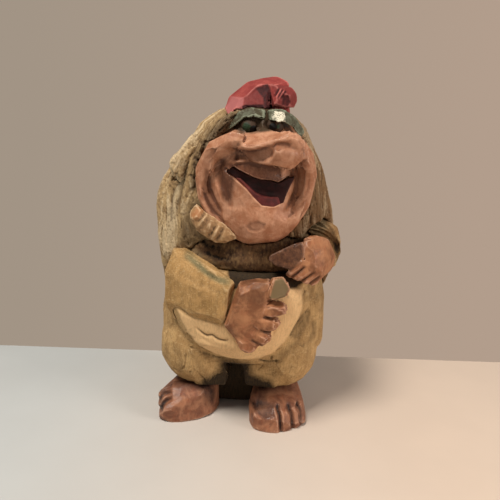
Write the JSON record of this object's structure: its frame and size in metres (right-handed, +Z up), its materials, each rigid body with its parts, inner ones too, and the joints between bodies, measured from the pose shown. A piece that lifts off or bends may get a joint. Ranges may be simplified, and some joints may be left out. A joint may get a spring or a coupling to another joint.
{
  "type": "carved troll figure",
  "caption": "Small free-standing carved wooden troll with a folded red cap, long gouged hair, a laughing face, hands on its belly and broad bare feet.",
  "frame": {"origin": "on the floor under the middle of the figure's bounding box", "axes": "+Z up, -Y the figure's front, +X the figure's own left"},
  "size_m": [0.1012, 0.0857, 0.184],
  "materials": {
    "skin": "knife-cut, stained peach to terracotta, darker in the cuts",
    "hair_tan": "gouged strands, stained tan to olive, dark brown in the grooves",
    "cap_red": "flat knife facets, stained red",
    "trousers_ochre": "smooth-cut, stained ochre with dark brown wash",
    "sleeve_ochre": "smooth-cut, stained ochre with fine grain",
    "fur_brown": "pricked and gouged like fur, stained dark brown",
    "tuft_tan": "knife-cut with cross cuts, stained tan",
    "mouth_dark": "stained dark maroon",
    "lip_red": "stained dark red",
    "eye_green": "painted green iris and black pupil, glossy",
    "brow_teal": "knife-cut, stained grey-green with a chipped white patch"
  },
  "bodies": {
    "root": {"trousers": "trousers_ochre", "right_foot": "skin", "left_foot": "skin", "chest": "fur_brown", "head": "skin", "mouth_lining": "mouth_dark", "lower_lip": "lip_red", "right_eye": "eye_green", "left_eye": "eye_green", "right_brow": "brow_teal", "left_brow": "brow_teal", "jaw_tuft": "tuft_tan", "right_sleeve": "sleeve_ochre", "left_sleeve": "sleeve_ochre", "right_hand": "skin", "left_hand": "skin", "hair": "hair_tan", "cap": "cap_red", "cap_tip": "cap_red"}
  },
  "joints": []
}
